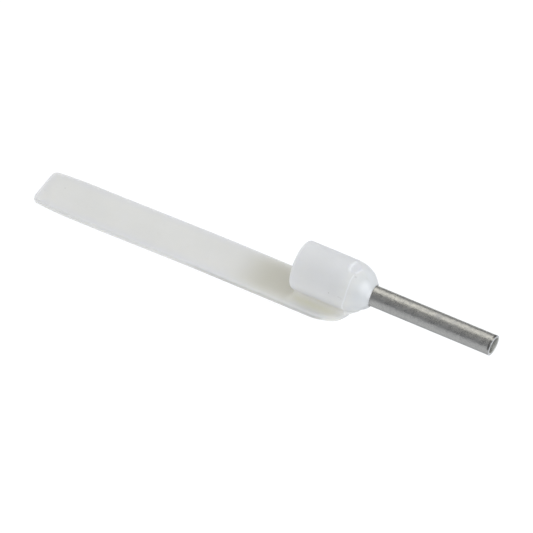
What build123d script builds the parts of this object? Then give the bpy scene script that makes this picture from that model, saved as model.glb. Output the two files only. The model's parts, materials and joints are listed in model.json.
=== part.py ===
from build123d import *
import os
from math import asin, degrees, sqrt

# Insulated wire-end ferrule for a 0.5 mm2 conductor, with a tag strip moulded onto its collar.
# It is two pieces: a tinned copper crimp tube, and one plastic moulding that is the collar,
# the nose and the strip together. All sizes are in millimetres.
#
# Frame: the origin is on the tube's axis where the bare tube leaves the nose, +X runs along
# the tube to its open tip, and +Z points away from the strip, which lies flat underneath.

# Crimp tube
TUBE_OD = 1.3
TUBE_WALL = 0.15
TUBE_REACH = 8.0            # bare length ahead of the nose
TUBE_EDGE = 0.03            # burr break at the cut tip
FLARE_OD = 2.3
FLARE_END = -2.4            # the wall bells out in one arc from the nose back to here

# Collar and nose
COLLAR_OD = 3.1
COLLAR_ID = 2.6
COLLAR_BACK = -5.0          # plane of the mouth where the wire goes in
NOSE_LENGTH = 2.0           # half axis of the elliptical nose, along the tube
SEAT_BACK = -2.5            # where the wide bore ends behind the tube's flare
RIM_OUTER = 0.2             # rounding of the rim on its outside
RIM_INNER = 0.04

# Tag strip
STRIP_WIDTH = 3.35
STRIP_THICKNESS = 0.38
STRIP_TOP = -1.82           # height of the writing face
STRIP_FRONT = -1.35
STRIP_FRONT_ROUND = 2.0     # length of the half-elliptical front end
STRIP_TAIL = -22.2
TAIL_TAPER = 2.8            # the sides draw in over this length
TAIL_WIDTH = 2.95
TAIL_CORNER = 0.4
STRIP_EDGE = 0.06           # rounding along all edges of the strip

# Web that joins the collar and the nose to the strip
WEB_WIDTH = 1.56
WEB_BACK = -4.75
WEB_NOSE = -0.45            # where the web's sloping front edge leaves the nose
WEB_EDGE = 0.25             # rounding along that sloping edge

tube_radius = TUBE_OD / 2
flare_radius = FLARE_OD / 2
collar_radius = COLLAR_OD / 2
mouth_radius = COLLAR_ID / 2
nose_centre = -NOSE_LENGTH * sqrt(1 - (tube_radius / collar_radius) ** 2)


def nose_radius(x):
    """Radius of the elliptical nose at a place along the tube."""
    return collar_radius * sqrt(1 - ((x - nose_centre) / NOSE_LENGTH) ** 2)


# The tube is one drawn wall, belled out at the back so that the strands can't catch on it.
with BuildPart() as crimp_tube:
    with BuildSketch(Plane.XZ):
        with BuildLine() as outside:
            Line((TUBE_REACH, tube_radius), (0, tube_radius))
            TangentArc((0, tube_radius), (FLARE_END, flare_radius), tangent=(-1, 0))
            offset(outside.line, amount=TUBE_WALL, side=Side.LEFT)
        make_face()
    revolve(axis=Axis.X)
    tip_edges = crimp_tube.faces().sort_by(Axis.X)[-1].edges()
    chamfer(tip_edges, length=TUBE_EDGE)

crimp_tube.part.label = "crimp_tube"

with BuildPart() as collar_and_tag_strip:
    # The strip is a flat plate with a half-elliptical front and a slightly narrowed square tail.
    half_width = STRIP_WIDTH / 2
    half_tail = TAIL_WIDTH / 2
    front_centre = STRIP_FRONT - STRIP_FRONT_ROUND
    taper_start = STRIP_TAIL + TAIL_TAPER
    with BuildSketch(Plane.XY.offset(STRIP_TOP)) as outline:
        with BuildLine():
            EllipticalCenterArc(
                (front_centre, 0), STRIP_FRONT_ROUND, half_width, start_angle=-90, arc_size=180
            )
            Line((front_centre, half_width), (taper_start, half_width))
            TangentArc((taper_start, half_width), (STRIP_TAIL, half_tail), tangent=(-1, 0))
            Line((STRIP_TAIL, half_tail), (STRIP_TAIL, -half_tail))
            TangentArc((taper_start, -half_width), (STRIP_TAIL, -half_tail), tangent=(-1, 0))
            Line((taper_start, -half_width), (front_centre, -half_width))
        make_face()
        tail_corners = outline.vertices().group_by(Axis.X)[0]
        fillet(tail_corners, radius=TAIL_CORNER)
    extrude(amount=-STRIP_THICKNESS)
    strip_faces = collar_and_tag_strip.faces().filter_by(Axis.Z)
    fillet(strip_faces.edges(), radius=STRIP_EDGE)

    # The web stands on the strip under the collar, and its front edge slopes up to the nose.
    web_front = STRIP_FRONT - STRIP_EDGE
    web_foot = STRIP_TOP - STRIP_THICKNESS / 2
    web_head = -collar_radius + RIM_OUTER
    with BuildSketch(Plane.XZ):
        with BuildLine():
            Polyline(
                (WEB_BACK, web_head),
                (WEB_BACK, web_foot),
                (web_front, web_foot),
                (web_front, STRIP_TOP),
                (WEB_NOSE, -nose_radius(WEB_NOSE)),
                (nose_centre, web_head),
                close=True,
            )
        make_face()
    extrude(amount=WEB_WIDTH / 2, both=True)
    slope_edges = collar_and_tag_strip.edges().filter_by_position(
        Axis.X, STRIP_FRONT, WEB_NOSE, inclusive=(False, False)
    )
    fillet(slope_edges.group_by(Axis.Z)[0], radius=WEB_EDGE)

    # The collar and its nose are one body of revolution with a rounded rim.
    nose_angle = degrees(asin(tube_radius / collar_radius))
    with BuildSketch(Plane.XZ):
        with BuildLine():
            Polyline(
                (0, tube_radius),
                (0, 0),
                (COLLAR_BACK, 0),
                (COLLAR_BACK, collar_radius - RIM_OUTER),
            )
            TangentArc(
                (COLLAR_BACK, collar_radius - RIM_OUTER),
                (COLLAR_BACK + RIM_OUTER, collar_radius),
                tangent=(0, 1),
            )
            Line((COLLAR_BACK + RIM_OUTER, collar_radius), (nose_centre, collar_radius))
            EllipticalCenterArc(
                (nose_centre, 0),
                NOSE_LENGTH,
                collar_radius,
                start_angle=nose_angle,
                arc_size=90 - nose_angle,
            )
        make_face()
    revolve(axis=Axis.X)

    # Inside, the wide bore for the wire's insulation narrows onto the tube and its flare.
    with BuildSketch(Plane.XZ):
        with BuildLine():
            TangentArc((0, tube_radius), (FLARE_END, flare_radius), tangent=(-1, 0))
            Polyline(
                (FLARE_END, flare_radius),
                (SEAT_BACK, mouth_radius),
                (COLLAR_BACK + RIM_INNER, mouth_radius),
                (COLLAR_BACK, mouth_radius + RIM_INNER),
                (COLLAR_BACK, 0),
                (0, 0),
                (0, tube_radius),
            )
        make_face()
    revolve(axis=Axis.X, mode=Mode.SUBTRACT)

collar_and_tag_strip.part.label = "collar_and_tag_strip"

os.makedirs("parts", exist_ok=True)
export_step(crimp_tube.part, "parts/crimp_tube.step")
export_step(collar_and_tag_strip.part, "parts/collar_and_tag_strip.step")
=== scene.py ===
import json
import math

import bpy
import numpy as np
from mathutils import Matrix, Vector


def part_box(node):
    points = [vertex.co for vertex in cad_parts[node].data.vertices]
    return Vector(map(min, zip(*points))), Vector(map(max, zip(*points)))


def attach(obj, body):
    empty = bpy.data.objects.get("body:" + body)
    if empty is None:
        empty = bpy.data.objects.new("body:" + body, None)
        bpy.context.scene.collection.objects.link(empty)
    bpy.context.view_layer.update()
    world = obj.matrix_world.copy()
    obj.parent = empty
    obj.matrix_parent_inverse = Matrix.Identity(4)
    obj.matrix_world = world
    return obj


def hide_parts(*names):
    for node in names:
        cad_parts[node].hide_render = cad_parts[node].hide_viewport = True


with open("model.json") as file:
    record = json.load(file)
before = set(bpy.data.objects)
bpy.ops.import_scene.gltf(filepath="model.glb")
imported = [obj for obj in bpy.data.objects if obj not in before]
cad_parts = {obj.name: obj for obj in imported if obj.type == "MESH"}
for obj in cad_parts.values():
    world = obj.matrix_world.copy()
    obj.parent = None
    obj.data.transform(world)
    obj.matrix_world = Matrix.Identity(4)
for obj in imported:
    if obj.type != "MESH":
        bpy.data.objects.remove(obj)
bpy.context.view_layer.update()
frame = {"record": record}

# An insulated wire end ferrule with a tag strip: a tinned crimp tube in a white plastic moulding.
# The pieces are worked out in millimetres, in the frame's own axes, and stored in metres.

MM = 0.001
mounts = {mount["name"]: mount for mount in frame["record"]["mounts"]}
low, high = (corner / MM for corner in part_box("collar_and_tag_strip"))
tube_low, tube_high = (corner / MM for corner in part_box("crimp_tube"))

# Sizes from the frame
tube_tip = tube_high.x
flare_radius = tube_high.z
tube_radius = mounts["bare_tube"]["dims"]["r_mm"]
tube_bore = mounts["conductor_bore"]["dims"]["r_mm"]
mouth_radius = mounts["wire_entry"]["dims"]["r_mm"]
collar_radius = high.z
strip_tail = low.x
strip_half_width = high.y
strip_bottom = low.z

# Sizes of the moulding that the frame doesn't name
COLLAR_BACK = -5.0
NOSE_LENGTH = 2.0           # half axis of the elliptical nose
STRIP_THICKNESS = 0.38
STRIP_FRONT = -1.35
FRONT_ROUND = 2.0           # length of the strip's half-elliptical front
TAIL_TAPER = 2.8            # the strip's sides draw in over this length
TAIL_HALF_WIDTH = 1.475
SEAM = -1.27                # where the two mould halves met
GATE = (-1.36, -0.08)       # middle of the torn gate mark on top of the collar, x and y
GATE_HALF = (0.30, 0.50)    # half its length and half its width
OFF_CENTRE = (0.05, 0.06)   # how far the collar sits off the tube's axis, in y and z

nose_centre = -NOSE_LENGTH * math.sqrt(1 - (tube_radius / collar_radius) ** 2)
strip_top = strip_bottom + STRIP_THICKNESS


# ---------------------------------------------------------------- camera

TUBE_TILT = math.radians(16.6)      # how far the tube's tip leans towards the camera
STRIP_TURN = math.radians(42.0)     # camera's height around the tube's axis, from the strip's side
TUBE_SLOPE = math.radians(22.62)    # the tube's fall across the picture
PICTURE_WIDTH = 31.58               # millimetres across the picture at the object
AIM = 4.2                           # the picture's middle is found from this place on the tube,
AIM_SHIFT = (-10.60, 0.845)         # going this far along it and across it, square to the view
LENS = 600.0                        # in millimetres, as is the sensor's width
SENSOR = 36.0


def make_camera():
    """A very long lens, as the tube's axis and the strip's edges stay parallel in the picture."""
    back = Vector((
        math.sin(TUBE_TILT),
        -math.cos(TUBE_TILT) * math.cos(STRIP_TURN),
        math.cos(TUBE_TILT) * math.sin(STRIP_TURN),
    ))
    along = (Vector((1, 0, 0)) - back * back.x).normalized()
    across = along.cross(back)
    right = along * math.cos(TUBE_SLOPE) - across * math.sin(TUBE_SLOPE)
    up = back.cross(right)
    target = Vector((AIM, 0, 0)) + along * AIM_SHIFT[0] + across * AIM_SHIFT[1]
    distance = PICTURE_WIDTH * LENS / SENSOR
    data = bpy.data.cameras.new("camera")
    data.lens = LENS
    data.sensor_width = SENSOR
    data.clip_start = 0.01
    data.clip_end = 10.0
    camera = bpy.data.objects.new("camera", data)
    turn = Matrix((right, up, back)).transposed().to_4x4()
    camera.matrix_world = Matrix.Translation((target + back * distance) * MM) @ turn
    bpy.context.scene.collection.objects.link(camera)
    bpy.context.scene.camera = camera


# ---------------------------------------------------------------- node helpers

class Nodes:
    """A node tree, with short calls for the nodes that the finishes and the sky share."""

    def __init__(self, tree):
        self.tree = tree

    def add(self, kind, **settings):
        node = self.tree.nodes.new("ShaderNode" + kind)
        for key, value in settings.items():
            setattr(node, key, value)
        return node

    def feed(self, socket, value):
        """Sets a socket to a plain value, or links another node's output to it."""
        if isinstance(value, bpy.types.NodeSocket):
            self.tree.links.new(value, socket)
        else:
            socket.default_value = value

    def parts(self, point):
        """The x, y and z of a point."""
        node = self.add("SeparateXYZ")
        self.feed(node.inputs[0], point)
        return node.outputs

    def join(self, x, y, z):
        node = self.add("CombineXYZ")
        for socket, value in zip(node.inputs, (x, y, z)):
            self.feed(socket, value)
        return node.outputs[0]

    def maths(self, operation, *values):
        node = self.add("Math", operation=operation)
        for socket, value in zip(node.inputs, values):
            self.feed(socket, value)
        return node.outputs[0]

    def product(self, *values):
        """The values multiplied together."""
        total = values[0]
        for value in values[1:]:
            total = self.maths("MULTIPLY", total, value)
        return total

    def noise(self, point, scale, detail=2.0, roughness=0.5):
        """Noise from 0 to 1 with scale patches to the millimetre."""
        node = self.add("TexNoise")
        self.feed(node.inputs["Vector"], point)
        node.inputs["Scale"].default_value = scale
        node.inputs["Detail"].default_value = detail
        node.inputs["Roughness"].default_value = roughness
        return node.outputs["Fac"]

    def fade(self, value, low, high, bottom=0.0, top=1.0):
        """A smooth step from bottom to top as the value goes from low to high."""
        node = self.add("MapRange", interpolation_type="SMOOTHSTEP")
        for socket, number in zip(node.inputs, (value, low, high, bottom, top)):
            self.feed(socket, number)
        return node.outputs[0]

    def blend(self, factor, first, second):
        """A colour that goes from the first to the second with the factor."""
        node = self.add("Mix", data_type="RGBA")
        self.feed(node.inputs["Factor"], factor)
        self.feed(node.inputs[6], first)
        self.feed(node.inputs[7], second)
        return node.outputs[2]


class Finish(Nodes):
    """A node material."""

    def __init__(self, name):
        self.material = bpy.data.materials.new(name)
        self.material.use_nodes = True
        super().__init__(self.material.node_tree)
        self.shader = self.tree.nodes["Principled BSDF"]

    def set(self, name, value):
        self.feed(self.shader.inputs[name], value)

    def place(self, stretch=(1, 1, 1)):
        """The point on the surface in millimetres, scaled along each axis."""
        point = self.add("TexCoord").outputs["Object"]
        node = self.add("VectorMath", operation="MULTIPLY")
        self.feed(node.inputs[0], point)
        node.inputs[1].default_value = [factor / MM for factor in stretch]
        return node.outputs[0]

    def near(self, point, spot, inner, outer):
        """1 within the inner distance of a spot, fading to 0 at the outer distance."""
        node = self.add("VectorMath", operation="DISTANCE")
        self.feed(node.inputs[0], point)
        node.inputs[1].default_value = spot
        return self.fade(node.outputs["Value"], inner, outer, 1.0, 0.0)

    def off_axis(self, y, z):
        """Distance from the tube's axis."""
        return self.maths("SQRT", self.maths("ADD", self.product(y, y), self.product(z, z)))

    def bump(self, height, depth, under=None):
        """Relief of a height from 0 to 1, with its depth in millimetres."""
        node = self.add("Bump")
        node.inputs["Distance"].default_value = depth * MM
        self.feed(node.inputs["Height"], height)
        if under is not None:
            self.feed(node.inputs["Normal"], under)
        return node.outputs[0]


# ---------------------------------------------------------------- mesh helpers

def link_mesh(name, points, faces, material, normals=None):
    """A smooth-shaded object from points in millimetres, with its own normals if they are given."""
    mesh = bpy.data.meshes.new(name)
    mesh.from_pydata((np.asarray(points) * MM).tolist(), [], [list(map(int, f)) for f in faces])
    mesh.validate()
    mesh.shade_smooth()
    if normals is not None:
        mesh.normals_split_custom_set_from_vertices(normals.tolist())
    mesh.materials.append(material)
    piece = bpy.data.objects.new(name, mesh)
    bpy.context.scene.collection.objects.link(piece)
    return piece


def smooth_union(a, b, blend):
    """The union of two distance fields with a soft inside corner."""
    near = np.maximum(blend - np.abs(a - b), 0.0) / blend
    return np.minimum(a, b) - near * near * blend * 0.25


def round_cut(a, b, radius):
    """The overlap of two distance fields with its outside edge rounded."""
    outside = np.hypot(np.maximum(a + radius, 0.0), np.maximum(b + radius, 0.0))
    return np.minimum(np.maximum(a, b), -radius) + outside


def slopes(field, points):
    """The field's gradient at each point."""
    nudge = 1e-3
    return np.stack([
        field(*(points + step).T) - field(*(points - step).T)
        for step in np.eye(3) * nudge
    ], axis=1) / (2 * nudge)


PULLS = 4                   # times that the net's points are pulled onto the surface
LONGEST_PULL = 0.02
LEAST_SLOPE = 0.5


def surface_net(field, xs, ys, zs):
    """A closed quad mesh on the zero surface of a field, one point in each grid cell it crosses."""
    grid = np.stack(np.meshgrid(xs, ys, zs, indexing="ij"))
    value = field(*grid)
    inside = value < 0
    cells = tuple(n - 1 for n in value.shape)
    total = np.zeros((3,) + cells)
    count = np.zeros(cells)
    crossings = []
    for axis in range(3):
        first = [slice(None)] * 3
        second = [slice(None)] * 3
        first[axis] = slice(None, -1)
        second[axis] = slice(1, None)
        first, second = tuple(first), tuple(second)
        crossed = inside[first] != inside[second]
        gap = np.where(crossed, value[first] - value[second], 1.0)
        share = value[first] / gap
        start, end = grid[(slice(None),) + first], grid[(slice(None),) + second]
        place = start * (1 - share) + end * share
        others = [n for n in range(3) if n != axis]
        for back_one in (0, 1):
            for back_two in (0, 1):
                part = [slice(None)] * 3
                part[others[0]] = slice(back_one, cells[others[0]] + back_one)
                part[others[1]] = slice(back_two, cells[others[1]] + back_two)
                part = tuple(part)
                total += np.where(crossed[part], place[(slice(None),) + part], 0.0)
                count += crossed[part]
        crossings.append((axis, others, crossed, inside[first]))
    used = count > 0
    index = np.full(cells, -1)
    index[used] = np.arange(used.sum())
    points = (total[:, used] / count[used]).T
    faces = []
    for axis, others, crossed, starts_inside in crossings:
        where = np.argwhere(crossed)
        corners = []
        for back_one, back_two in ((1, 1), (0, 1), (0, 0), (1, 0)):
            cell = where.copy()
            cell[:, others[0]] -= back_one
            cell[:, others[1]] -= back_two
            corners.append(index[tuple(cell.T)])
        quads = np.stack(corners, axis=1)
        flip = starts_inside[tuple(where.T)] == (axis == 1)
        quads[flip] = quads[flip][:, ::-1]
        faces.append(quads)
    for _ in range(PULLS):
        here = np.clip(field(*points.T), -LONGEST_PULL, LONGEST_PULL)
        slope = slopes(field, points)
        steepness = np.maximum((slope ** 2).sum(axis=1), LEAST_SLOPE ** 2)
        points -= slope * (here / steepness)[:, None]
    return points, np.concatenate(faces)


# ---------------------------------------------------------------- the moulding

RIM_ROUND = 0.22            # rounding of the collar's rim on its outside, and on its inside
INNER_ROUND = 0.05
SEAT_BACK = -2.5            # the wide bore for the wire's insulation ends here
BELL_END = -2.4             # the bell of the tube ends here, and so does its seat
STRIP_EDGE = 0.12           # rounding along the strip's edges
TAIL_CORNER = 0.38          # and of its two corners at the tail
TAIL_SKEW = 0.025           # the tail was cut a little out of square
TAIL_BOW = 0.16             # the strip is bent a little, so that its tail lies this much lower
BOW_SPAN = (-9.4, -20.5)    # where the bend starts and ends
WEB_HALF_WIDTH = 0.78
WEB_FLARE = 0.5             # the web's sides spread this much for each unit down
WEB_BACK = -4.82
WEB_SLOPE = math.radians(35.6)  # rise of its front edge from the strip
WEB_ROUND = 0.25
SEAM_HALF_WIDTH = 0.035
SEAM_HEIGHT = 0.018
SEAT_GAP = 0.004            # between the tube and its seat in the moulding

flare_height = flare_radius - tube_radius
bell_radius = (BELL_END ** 2 + flare_height ** 2) / (2 * flare_height)
strip_middle = strip_bottom + STRIP_THICKNESS / 2
front_centre = STRIP_FRONT - FRONT_ROUND
taper_start = strip_tail + TAIL_TAPER
tail_inset = strip_half_width - TAIL_HALF_WIDTH
taper_radius = (TAIL_TAPER ** 2 + tail_inset ** 2) / (2 * tail_inset)


def oval_distance(u, v, long_half, wide_half):
    """Distance from an ellipse, close to it, with u and v measured from its centre."""
    scaled = np.hypot(u / long_half, v / wide_half)
    steepness = np.hypot(u / long_half ** 2, v / wide_half ** 2)
    return scaled * (scaled - 1) / np.maximum(steepness, 1e-9)


def off_centre(x):
    """The moulding's shift in y and z, which dies out where the nose grips the tube."""
    share = np.clip((-0.1 - x) / 0.5, 0.0, 1.0)
    share = share * share * (3 - 2 * share)
    return share * OFF_CENTRE[0], share * OFF_CENTRE[1]


def bell(x):
    """Outer radius of the tube's wall behind the nose."""
    return tube_radius + bell_radius - np.sqrt(bell_radius ** 2 - np.minimum(x, 0.0) ** 2)


def collar_field(x, r):
    """The collar and nose as a solid of revolution with a rounded rim."""
    nose = oval_distance(np.maximum(x - nose_centre, 0.0), r, NOSE_LENGTH, collar_radius)
    side = np.where(x > nose_centre, nose, r - collar_radius)
    return round_cut(side, COLLAR_BACK - x, RIM_ROUND)


def hollow_field(x, r, seat_r):
    """The wire's bore, and the seat that the tube and its bell fill."""
    seat = np.maximum(seat_r - bell(np.maximum(x, BELL_END)) - SEAT_GAP, BELL_END - x - 0.1)
    mouth = np.maximum(r - mouth_radius, x - SEAT_BACK)
    return smooth_union(seat, mouth, 0.05)


def strip_field(x, y, z):
    """The tag strip: a thin plate with a half-elliptical front and a drawn-in square tail."""
    bend = np.clip((x - BOW_SPAN[0]) / (BOW_SPAN[1] - BOW_SPAN[0]), 0.0, 1.0)
    bow = TAIL_BOW * bend * bend * (3 - 2 * bend)
    front = oval_distance(np.maximum(x - front_centre, 0.0), y, FRONT_ROUND, strip_half_width)
    into_tail = np.maximum(taper_start - x, 0.0)
    inset = taper_radius - np.sqrt(taper_radius ** 2 - into_tail ** 2)
    side = np.abs(y) - strip_half_width + inset
    end = strip_tail - TAIL_SKEW * y - x
    outline = round_cut(np.where(x > front_centre, front, side), end, TAIL_CORNER)
    return round_cut(outline, np.abs(z - strip_middle + bow) - STRIP_THICKNESS / 2, STRIP_EDGE)


def web_field(x, y, z):
    """The web that joins the collar and nose to the strip, with a rounded sloping front."""
    ahead = x - STRIP_FRONT + STRIP_EDGE
    slope = ahead * math.sin(WEB_SLOPE) - (z - strip_top) * math.cos(WEB_SLOPE)
    half_width = WEB_HALF_WIDTH + WEB_FLARE * np.clip(-1.3 - z, 0.0, 0.6)
    front = round_cut(np.abs(y) - half_width, slope, WEB_ROUND)
    depth = np.maximum(strip_middle - z, z + mouth_radius)
    return round_cut(np.maximum(front, depth), WEB_BACK - x, 0.12)


def seam_profile(x, y, z):
    """1 on the line where the mould parted, round the shoulder, fading to 0 beside it."""
    angle = np.arctan2(y, z)
    wander = 0.018 * np.sin(3 * angle + 0.7) + 0.008 * np.sin(11 * angle)
    round_the_side = np.clip((np.abs(angle) - 1.3) / 0.8, 0.0, 1.0)
    wander -= 0.18 * round_the_side * np.clip((z + 1.75) / 0.5, 0.0, 1.0)
    past_gate = np.where(y > GATE[1], y - 0.90, GATE[1] - 0.50 - y)
    clear_of_gate = np.where(z > 0, np.clip(past_gate / 0.1, 0.0, 1.0), 1.0)
    shown = (np.hypot(y, z) > 1.2) * clear_of_gate * np.clip((z + 1.64) / 0.15, 0.0, 1.0)
    return np.exp(-((x - SEAM - wander) / SEAM_HALF_WIDTH) ** 2) * shown


def gate_parts(x, y, z):
    """The gate mark's torn ridge behind, its low ridge in front and the dish between, each 0 to 1."""
    v = (y - GATE[1]) / GATE_HALF[1]
    ragged = 0.015 * np.sin(9.0 * y + 1.0) + 0.010 * np.sin(23.0 * y)
    rear_line = GATE[0] - GATE_HALF[0] + 0.07 * v * v + ragged
    rear = np.exp(-((x - rear_line) / 0.095) ** 2) / (1 + np.exp((np.abs(v) - 1.0) / 0.08))
    rear = rear * (0.85 + 0.15 * np.sin(13.0 * y + 2.0))
    along = np.clip((y + 0.47) / 0.45, 0.0, 1.0)
    off_front = np.hypot(x + 1.22 - 0.19 * along + ragged, y + 0.47 - 0.45 * along)
    front = np.exp(-(off_front / 0.075) ** 2)
    dish = np.hypot((x - GATE[0]) / GATE_HALF[0], v) + 3 * ragged
    dish = 1 / (1 + np.exp((dish - 0.75) / 0.08))
    on_top = z > 1.0
    return rear * on_top, front * on_top, dish * on_top


def gate_mark(x, y, z):
    """How far the torn stub, where the plastic was injected, stands off the collar."""
    rear, front, dish = gate_parts(x, y, z)
    return 0.050 * rear + 0.025 * front - (0.030 + 0.008 * np.sin(11 * x + 5 * y)) * dish


def torn_share(x, y, z):
    """How far the plastic is whitened: 1 on the torn ridge of the gate, less on the seam."""
    rear, front, _ = gate_parts(x, y, z)
    return np.maximum(rear + 0.55 * front, 0.85 * seam_profile(x, y, z))


def moulding_field(x, y, z):
    """The whole moulding in its own axes, where the tube stands off centre the other way."""
    r = np.hypot(y, z)
    shift_y, shift_z = off_centre(x)
    seat_r = np.hypot(y + shift_y, z + shift_z)
    body = smooth_union(collar_field(x, r), web_field(x, y, z), 0.25)
    body = body - SEAM_HEIGHT * seam_profile(x, y, z) - gate_mark(x, y, z)
    body = smooth_union(body, strip_field(x, y, z), 0.4)
    return round_cut(body, -hollow_field(x, r, seat_r), INNER_ROUND)


def grid_lines(*stretches):
    """Grid lines from (start, end, spacing) stretches that follow one another."""
    lines = [np.arange(start, end - spacing / 2, spacing) for start, end, spacing in stretches]
    return np.concatenate(lines)


def make_moulding(material):
    """The moulding, with a closer grid round the gate mark and the seam than on the strip."""
    xs = grid_lines(
        (strip_tail - 0.1, strip_tail + 0.6, 0.05),
        (strip_tail + 0.6, COLLAR_BACK - 0.2, 0.25),
        (COLLAR_BACK - 0.2, SEAM - 0.6, 0.05),
        (SEAM - 0.6, SEAM + 0.35, 0.025),
        (SEAM + 0.35, 0.25, 0.05),
    )
    ys = grid_lines(
        (low.y - 0.12, -0.66, 0.05),
        (-0.66, 0.74, 0.03),
        (0.74, high.y + 0.12, 0.05),
    )
    zs = grid_lines(
        (low.z - TAIL_BOW - 0.12, strip_top + 0.1, 0.045),
        (strip_top + 0.1, 1.25, 0.05),
        (1.25, high.z + 0.2, 0.03),
    )
    points, faces = surface_net(moulding_field, xs, ys, zs)
    torn_values = torn_share(*points.T).astype(np.float32)
    normals = slopes(moulding_field, points)
    normals /= np.linalg.norm(normals, axis=1)[:, None]
    shift_y, shift_z = off_centre(points[:, 0])
    points[:, 1] += shift_y
    points[:, 2] += shift_z
    piece = link_mesh("collar_and_strip_moulding", points, faces, material, normals)
    torn = piece.data.attributes.new("torn", "FLOAT", "POINT")
    torn.data.foreach_set("value", torn_values)
    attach(piece, "root")
    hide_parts("collar_and_tag_strip")
    return piece


# ---------------------------------------------------------------- the tube

TUBE_TURNS = 112
BURR = 0.02                 # rounding of the cut tip's edges
TIP_SKEW = 0.04             # the tip was sheared a little out of square
TIP_SKEW_TURN = 0.73        # and is longest on this side, in radians from +Z towards +Y
TIP_SKEW_SPAN = 0.5         # length of tube over which the skew dies out in the mesh


def tube_profile():
    """The wall's outline as (x, radius): up the outside to the tip, then back down the bore."""
    outer = [(x, bell(x)) for x in np.linspace(BELL_END, 0.0, 13)]
    outer += [(x, tube_radius) for x in np.linspace(0.0, tube_tip - BURR, 17)[1:]]
    rounding = [(BURR * math.sin(a), BURR * math.cos(a)) for a in np.linspace(0, math.pi / 2, 5)[1:]]
    outer += [(tube_tip - BURR + sine, tube_radius - BURR + cosine) for sine, cosine in rounding]
    inner = [(tube_tip - BURR + cosine, tube_bore + BURR - sine) for sine, cosine in rounding]
    inner += [(x, tube_bore) for x in np.linspace(tube_tip - BURR, 0.0, 17)[1:]]
    wall = tube_radius - tube_bore
    for x in np.linspace(0.0, BELL_END, 13)[1:]:
        lean = math.asin(-x / bell_radius)
        inner.append((x - wall * math.sin(lean), float(bell(x)) - wall * math.cos(lean)))
    return outer + inner


def make_tube(material):
    """The crimp tube, turned from its profile and sheared a little at the tip."""
    profile = tube_profile()
    rows = len(profile)
    points = []
    for turn in range(TUBE_TURNS):
        angle = 2 * math.pi * turn / TUBE_TURNS
        cut = TIP_SKEW * (math.cos(angle - TIP_SKEW_TURN) - 1)
        for x, r in profile:
            near_tip = max(0.0, 1 - (tube_tip - x) / TIP_SKEW_SPAN)
            points.append((x + cut * near_tip, r * math.sin(angle), r * math.cos(angle)))
    faces = []
    for turn in range(TUBE_TURNS):
        here = turn * rows
        there = (turn + 1) % TUBE_TURNS * rows
        for row in range(rows):
            after = (row + 1) % rows
            faces.append((here + row, here + after, there + after, there + row))
    piece = link_mesh("drawn_crimp_tube", points, faces, material)
    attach(piece, "root")
    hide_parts("crimp_tube")
    return piece


# ---------------------------------------------------------------- materials

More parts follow.
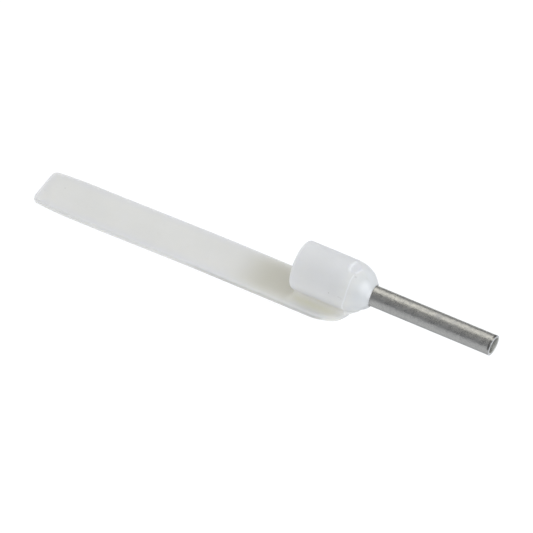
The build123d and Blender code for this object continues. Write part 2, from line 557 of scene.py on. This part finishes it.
def plastic_material():
    """Natural polypropylene: milky, warm where it is thick and hidden, cool along thin edges."""
    finish = Finish("white_polypropylene")
    point = finish.place()
    x, y, z = finish.parts(point)
    beside = finish.maths("ABSOLUTE", y)
    on_strip = finish.fade(z, strip_top + 0.1, strip_top + 0.6, 1.0, 0.0)
    on_nose = finish.fade(x, SEAM, SEAM + 0.75)

    # Cloudy patches, cooler on the nose. Light gathers in the shoulder, and less of it gets to the
    # far side and the underside.
    patches = finish.fade(finish.noise(point, 0.45, 3.0, 0.55), 0.3, 0.7)
    collar = finish.blend(patches, (0.632, 0.633, 0.628, 1), (0.647, 0.648, 0.642, 1))
    collar = finish.blend(finish.fade(x, -4.3, -2.2), collar, (0.692, 0.693, 0.683, 1))
    collar = finish.blend(finish.fade(z, -0.1, -1.0), collar, (0.598, 0.600, 0.597, 1))
    collar = finish.blend(finish.fade(y, -0.7, 1.0, 0.0, 0.8), collar, (0.595, 0.597, 0.607, 1))
    nose = finish.blend(patches, (0.638, 0.651, 0.658, 1), (0.652, 0.665, 0.672, 1))
    nose = finish.blend(finish.fade(z, 0.0, -0.8), nose, (0.565, 0.581, 0.590, 1))
    nose = finish.blend(finish.fade(y, 0.1, 0.8, 0.0, 0.8), nose, (0.570, 0.587, 0.602, 1))
    # Painted highlight and painted light on the nose near the tube, and painted shade below it
    for spot, inner, outer, tint in (
        ((-0.40, -0.66, 0.84), 0.10, 0.60, (0.750, 0.762, 0.772, 1)),    # painted highlight, above the tube
        ((-0.06, -0.52, 0.46), 0.05, 0.42, (0.850, 0.860, 0.870, 1)),    # painted light, at the lip beside the tube
        ((-0.10, -0.50, -0.75), 0.20, 0.70, (0.470, 0.485, 0.497, 1)),   # shaded, below the tube
    ):
        nose = finish.blend(finish.near(point, spot, inner, outer), nose, tint)
    # Painted shade: the strip is painted darker than the collar to offset the light the backlit floor
    # gives it
    strip = finish.blend(patches, (0.562, 0.563, 0.560, 1), (0.578, 0.578, 0.574, 1))
    colour = finish.blend(on_strip, finish.blend(on_nose, collar, nose), strip)

    # The sides of the strip and the rim of the collar scatter more blue light
    side = finish.fade(beside, strip_half_width - 0.75, strip_half_width)
    tail = finish.fade(x, strip_tail, strip_tail + 0.7, 1.0, 0.0)
    front = finish.fade(x, -2.8, STRIP_FRONT - 0.1)
    rim = finish.fade(x, COLLAR_BACK, COLLAR_BACK + 0.9, 1.0, 0.0)
    outline = finish.maths("MAXIMUM", side, finish.maths("MAXIMUM", tail, front))
    edge = finish.blend(on_strip, rim, outline)
    strip_tint = finish.blend(finish.fade(x, -10.0, -7.0),
                              (0.520, 0.522, 0.558, 1), (0.530, 0.536, 0.548, 1))
    tint = finish.blend(on_strip, (0.590, 0.597, 0.618, 1), strip_tint)
    colour = finish.blend(finish.product(edge, 0.6), colour, tint)

    # Painted shade: the strip's upright edge is painted darker, most of all near the collar, and so is
    # its lower rounding
    flank = finish.product(
        finish.fade(beside, strip_half_width - 0.25, strip_half_width - 0.12),
        finish.fade(z, strip_top + 0.02, strip_top - 0.14),
    )
    flank_shade = finish.blend(finish.fade(x, -13.0, -9.0),
                              (0.545, 0.547, 0.552, 1), (0.400, 0.403, 0.410, 1))
    colour = finish.blend(flank, colour, flank_shade)
    # Painted shade on the strip's lower rounding
    bottom_shade = finish.fade(z, strip_bottom + 0.06, strip_bottom - TAIL_BOW, 0.0, 0.5)
    colour = finish.blend(bottom_shade, colour, (0.400, 0.405, 0.420, 1))

    # Light that has crossed the web and the root of the strip comes out olive
    low_down = finish.fade(z, strip_top + 0.3, strip_top + 0.7, 1.0, 0.0)
    under = finish.product(
        finish.fade(x, COLLAR_BACK - 0.3, COLLAR_BACK + 0.1),
        finish.fade(x, -2.4, -1.3, 1.0, 0.0),
        finish.fade(beside, 0.90, 1.48, 1.0, 0.0),
    )
    olive = finish.blend(finish.fade(x, COLLAR_BACK, COLLAR_BACK + 1.2),
                         (0.618, 0.613, 0.570, 1), (0.668, 0.661, 0.588, 1))
    colour = finish.blend(finish.product(under, low_down), colour, olive)
    # Painted shadow: the strip just behind the collar's mouth is painted darker and warmer, where the
    # collar shades it
    behind = finish.product(
        finish.fade(x, -9.5, -6.6),
        finish.fade(x, COLLAR_BACK - 0.3, COLLAR_BACK + 0.3, 1.0, 0.0),
        finish.fade(beside, 0.7, 2.1, 1.0, 0.0),
    )
    colour = finish.blend(finish.product(behind, low_down), colour, (0.485, 0.481, 0.447, 1))

    # The gate's scar is cooler
    scar = finish.near(point, (GATE[0], GATE[1] + OFF_CENTRE[0], collar_radius), 0.25, 0.60)
    colour = finish.blend(finish.product(scar, 0.8), colour, (0.655, 0.655, 0.672, 1))

    # The inside corner between the web and the collar glows, as both sides light it
    corner = finish.product(
        finish.fade(z, strip_top + 0.10, strip_top + 0.40),
        finish.fade(z, -1.30, -1.15, 1.0, 0.0),
        finish.fade(beside, 0.85, 1.15, 1.0, 0.0),
        finish.fade(x, COLLAR_BACK, COLLAR_BACK + 0.6),
        finish.fade(x, -1.9, -1.0, 1.0, 0.3),
    )
    colour = finish.blend(corner, colour, (0.735, 0.730, 0.700, 1))

    # Painted light: the bore is painted much paler than the rest of the plastic
    inside = finish.product(
        finish.fade(finish.off_axis(y, z), mouth_radius + 0.06, mouth_radius + 0.12, 1.0, 0.0),
        finish.fade(x, SEAT_BACK, SEAT_BACK + 0.1, 1.0, 0.0),
    )
    colour = finish.blend(inside, colour, (0.93, 0.93, 0.92, 1))

    # Torn and squeezed plastic turns white
    torn = finish.add("Attribute", attribute_name="torn").outputs["Fac"]
    colour = finish.blend(torn, colour, (0.775, 0.787, 0.805, 1))

    # Scuffs, and a few dark specks from the mould and from handling
    smudge = finish.fade(finish.noise(point, 2.6, 4.0, 0.65), 0.60, 0.74, 0.0, 0.16)
    colour = finish.blend(smudge, colour, (0.52, 0.49, 0.45, 1))
    cells = finish.add("TexVoronoi", feature="F1")
    finish.feed(cells.inputs["Vector"], point)
    cells.inputs["Scale"].default_value = 1.1
    dot = finish.fade(cells.outputs["Distance"], 0.035, 0.065, 1.0, 0.0)
    chosen = finish.fade(finish.parts(cells.outputs["Color"])[0], 0.80, 0.84, 0.0, 0.55)
    scattered = finish.product(dot, chosen)
    on_collar = finish.product(finish.near(point, (-2.32, -1.50, 0.17), 0.02, 0.06), 0.4)
    by_gate = finish.product(finish.near(point, (-1.11, -0.60, 1.36), 0.03, 0.10), 0.22)
    rubbed = finish.product(
        finish.near(finish.place((0.35, 1, 1)), (-0.60, -1.50, 0.10), 0.03, 0.13),
        finish.fade(finish.noise(point, 7.0, 3.0, 0.6), 0.42, 0.62),
        0.4,
    )
    nicks = finish.product(
        finish.fade(finish.noise(finish.place((0.9, 6.0, 6.0)), 2.0, 2.0, 0.5), 0.64, 0.72),
        finish.fade(beside, strip_half_width - 0.16, strip_half_width - 0.06),
        finish.fade(x, -21.0, -11.0, 0.45, 0.0),
        on_strip,
    )
    marks = scattered
    for mark in (on_collar, by_gate, rubbed, nicks):
        marks = finish.maths("MAXIMUM", marks, mark)
    colour = finish.blend(marks, colour, (0.30, 0.28, 0.26, 1))
    finish.set("Base Color", colour)

    # The front mould half was polished, and the rear half and the strip have a fine matt grain
    grain = finish.noise(point, 9.0, 3.0, 0.6)
    uneven = finish.fade(grain, 0.3, 0.7, 0.92, 1.08)
    finish.set("Roughness", finish.product(uneven, finish.fade(on_nose, 0.0, 1.0, 0.55, 0.30)))
    waves = finish.bump(finish.noise(point, 0.8, 2.0, 0.5), 0.020)
    fine = finish.product(grain, finish.fade(on_nose, 0.0, 1.0, 1.0, 0.0))
    finish.set("Normal", finish.bump(fine, 0.006, waves))
    finish.set("IOR", 1.49)
    finish.set("Subsurface Weight", finish.fade(x, -0.75, -0.20, 1.0, 0.25))
    finish.set("Subsurface Radius", (1.0, 0.97, 0.85))
    finish.set("Subsurface Scale", 0.0013)
    return finish.material


def tin_material():
    """Satin tin plate on a drawn tube: fine lines along it, cloudy patches and small dents."""
    finish = Finish("tinned_copper")
    point = finish.place()
    x, y, z = finish.parts(point)
    turn = finish.maths("ARCTAN2", y, z)
    around = finish.product(turn, tube_radius)
    drawn = finish.noise(finish.join(finish.product(x, 0.12), around, 0.0), 14.0, 3.0, 0.6)
    streaks = finish.noise(finish.join(finish.product(x, 0.35), around, 3.0), 5.0, 3.0, 0.65)
    clouds = finish.noise(finish.place((0.8, 1.0, 1.0)), 2.4, 4.0, 0.7)
    colour = finish.blend(finish.fade(streaks, 0.32, 0.68),
                          (0.438, 0.426, 0.382, 1), (0.520, 0.504, 0.450, 1))
    colour = finish.blend(finish.fade(clouds, 0.48, 0.70, 0.0, 0.65), colour, (0.33, 0.33, 0.33, 1))

    # Painted shade: the plate is painted greyer from the side down and much darker underneath, and it
    # is mottled
    colour = finish.blend(finish.fade(z, 0.58, 0.12, 0.0, 0.88), colour, (0.356, 0.356, 0.352, 1))
    colour = finish.blend(finish.fade(z, -0.12, -0.34, 0.0, 0.7), colour, (0.180, 0.180, 0.180, 1))
    mottle = finish.noise(point, 6.0, 3.0, 0.7)
    colour = finish.blend(finish.fade(mottle, 0.45, 0.65, 0.0, 0.35), colour, (0.250, 0.250, 0.250, 1))

    # Shearing left a crease just behind the tip, on all but one side, painted dark as painted shade,
    # and a cut edge that is cool
    skew = finish.maths("COSINE", finish.maths("SUBTRACT", turn, TIP_SKEW_TURN))
    skew = finish.product(finish.maths("SUBTRACT", skew, 1.0), TIP_SKEW)
    from_tip = finish.maths("ADD", finish.maths("SUBTRACT", tube_tip, x), skew)
    from_smooth_side = finish.maths("ABSOLUTE", finish.maths("ADD", turn, 0.36))
    crease_shade = finish.product(
        finish.fade(from_tip, 0.12, 0.18, 1.0, 0.0),
        finish.fade(from_tip, 0.015, 0.04),
        finish.fade(from_smooth_side, 0.04, 0.28, 0.0, 0.9),
        finish.fade(turn, -1.60, -1.35),
    )
    colour = finish.blend(crease_shade, colour, (0.100, 0.097, 0.092, 1))
    tip = finish.fade(from_tip, 0.01, 0.03, 1.0, 0.0)
    colour = finish.blend(tip, colour, (0.430, 0.440, 0.465, 1))

    # The bore, painted darker at its top as painted shade, and the part that the moulding hides, which
    # is bright so that the nose isn't dulled
    bore = finish.fade(finish.off_axis(y, z), tube_bore + 0.04, tube_bore + 0.10, 1.0, 0.0)
    bore_shade = finish.blend(finish.fade(z, 0.4, -0.3),
                             (0.430, 0.430, 0.410, 1), (0.560, 0.560, 0.530, 1))
    colour = finish.blend(bore, colour, bore_shade)
    seated = finish.fade(x, -0.05, -0.02, 1.0, 0.0)
    colour = finish.blend(seated, colour, (0.90, 0.90, 0.90, 1))
    finish.set("Base Color", colour)
    finish.set("Metallic", 1.0)
    roughness = finish.fade(clouds, 0.35, 0.7, 0.24, 0.38)
    finish.set("Roughness", finish.maths("MAXIMUM", roughness, finish.product(bore, 0.55)))
    relief = finish.product(
        finish.fade(x, tube_tip - 0.15, tube_tip - 0.05, 1.0, 0.1),
        finish.fade(bore, 0.0, 1.0, 1.0, 0.2),
    )
    lines = finish.bump(finish.product(drawn, relief), 0.007)
    pits = finish.product(finish.noise(point, 6.0, 4.0, 0.75), relief)
    finish.set("Normal", finish.bump(pits, 0.018, lines))
    return finish.material


# ---------------------------------------------------------------- stage and light

FLOOR_RADIUS = 0.8          # in metres
FLOOR_SIDES = 64
FLOOR_GAP = 0.005           # keeps the floor clear of the strip's underside


def make_stage():
    """A round table of pale backlit acrylic, so the plastic glows and casts hardly a shadow."""
    ground = (low.z - TAIL_BOW + OFF_CENTRE[1] - FLOOR_GAP) * MM
    mesh = bpy.data.meshes.new("floor")
    angles = [2 * math.pi * n / FLOOR_SIDES for n in range(FLOOR_SIDES)]
    rim = [(FLOOR_RADIUS * math.cos(a), FLOOR_RADIUS * math.sin(a), ground) for a in angles]
    mesh.from_pydata(rim, [], [list(range(FLOOR_SIDES))])
    paper = Finish("floor_acrylic")
    paper.set("Base Color", (0.05, 0.05, 0.05, 1))
    paper.set("Roughness", 0.9)
    paper.set("Emission Color", (0.97, 0.985, 1.0, 1))
    paper.set("Emission Strength", 1.01)
    paper.set("Coat Weight", 0.7)
    paper.set("Coat IOR", 1.65)
    paper.set("Coat Roughness", 0.3)
    mesh.materials.append(paper.material)
    floor = bpy.data.objects.new("floor", mesh)
    bpy.context.scene.collection.objects.link(floor)


BAND_TILT = 24.0            # degrees that the bright band leans back from straight overhead
SIDE_SKY = (0.262, 0.272, 0.300, 1)
BAND_SKY = (1.33, 1.34, 1.36, 1)
TIP_SKY = (0.72, 0.735, 0.75, 1)
TAIL_SKY = (1.20, 1.21, 1.23, 1)


def make_world():
    """A light tent: a bright band overhead along the tube, grey sides and paler ends."""
    world = bpy.data.worlds.new("tent")
    bpy.context.scene.world = world
    world.use_nodes = True
    sky = Nodes(world.node_tree)
    tilt = math.radians(BAND_TILT)
    direction = sky.add("TexCoord").outputs["Generated"]
    x, y, z = sky.parts(direction)
    round_tube = sky.add("VectorMath", operation="NORMALIZE")
    sky.feed(round_tube.inputs[0], sky.join(0.0, y, z))
    lean = sky.add("VectorMath", operation="DOT_PRODUCT")
    sky.feed(lean.inputs[0], round_tube.outputs[0])
    lean.inputs[1].default_value = (0, math.sin(tilt), math.cos(tilt))
    band = sky.fade(lean.outputs["Value"], 0.79, 0.965)
    colour = sky.blend(band, SIDE_SKY, BAND_SKY)
    colour = sky.blend(sky.fade(x, 0.05, 0.45), colour, TIP_SKY)
    colour = sky.blend(sky.fade(x, -0.45, -0.75), colour, TAIL_SKY)
    sky.feed(sky.tree.nodes["Background"].inputs["Color"], colour)


LAMP_TARGET = Vector((-2, 0, 0))    # a place inside the collar


def add_softbox(name, direction, distance, size, power, colour):
    """A square lamp that faces the collar from that direction. Lengths are in millimetres."""
    data = bpy.data.lights.new(name, "AREA")
    data.size = size * MM
    data.energy = power
    data.color = colour
    lamp = bpy.data.objects.new(name, data)
    away = Vector(direction).normalized()
    lamp.location = (LAMP_TARGET + away * distance) * MM
    lamp.rotation_mode = "QUATERNION"
    lamp.rotation_quaternion = (-away).to_track_quat("-Z", "Y")
    lamp.visible_camera = False
    bpy.context.scene.collection.objects.link(lamp)


# ---------------------------------------------------------------- the scene

bpy.context.scene.view_settings.view_transform = "Standard"
make_camera()
make_moulding(plastic_material())
make_tube(tin_material())
make_stage()
make_world()
add_softbox("softbox_end", (0.82, -0.09, 0.60), 150, 85, 0.060, (0.95, 0.98, 1.0))
add_softbox("softbox_front", (0.45, -0.60, 0.66), 150, 110, 0.040, (0.97, 0.985, 1.0))
